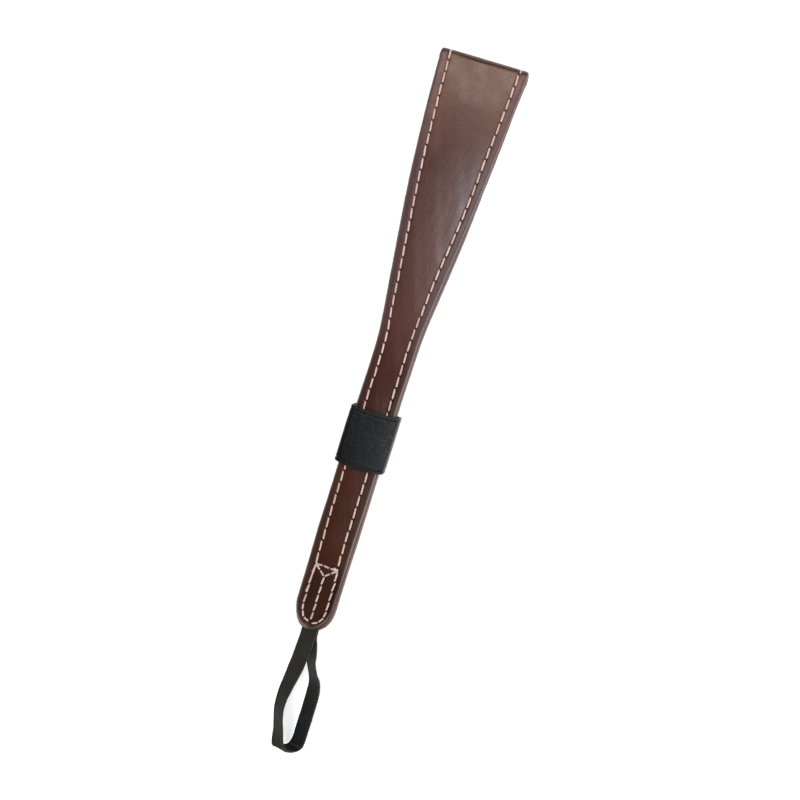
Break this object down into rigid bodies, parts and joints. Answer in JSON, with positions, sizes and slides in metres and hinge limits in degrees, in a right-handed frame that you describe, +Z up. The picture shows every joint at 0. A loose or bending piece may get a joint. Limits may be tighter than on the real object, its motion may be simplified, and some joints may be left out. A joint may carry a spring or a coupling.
{
  "type": "camera wrist strap",
  "caption": "Leather camera wrist strap: a long folded band with stitched edges, a sliding keeper round both halves and a flat woven tape loop for a camera lug.",
  "frame": {"origin": "under the middle of the whole strap, on the surface that it lies on", "axes": "+Y along the strap, from the tape loop towards the fold; +Z up, away from the surface"},
  "size_m": [0.03, 0.2506, 0.0124],
  "materials": {
    "brown_leather": "satin",
    "black_leather": "satin",
    "black_tape": "matt woven",
    "thread": "matt waxed thread"
  },
  "bodies": {
    "root": {"strap_band": "brown_leather", "lug_loop": "black_tape", "sliding_keeper": "black_leather"}
  },
  "joints": []
}
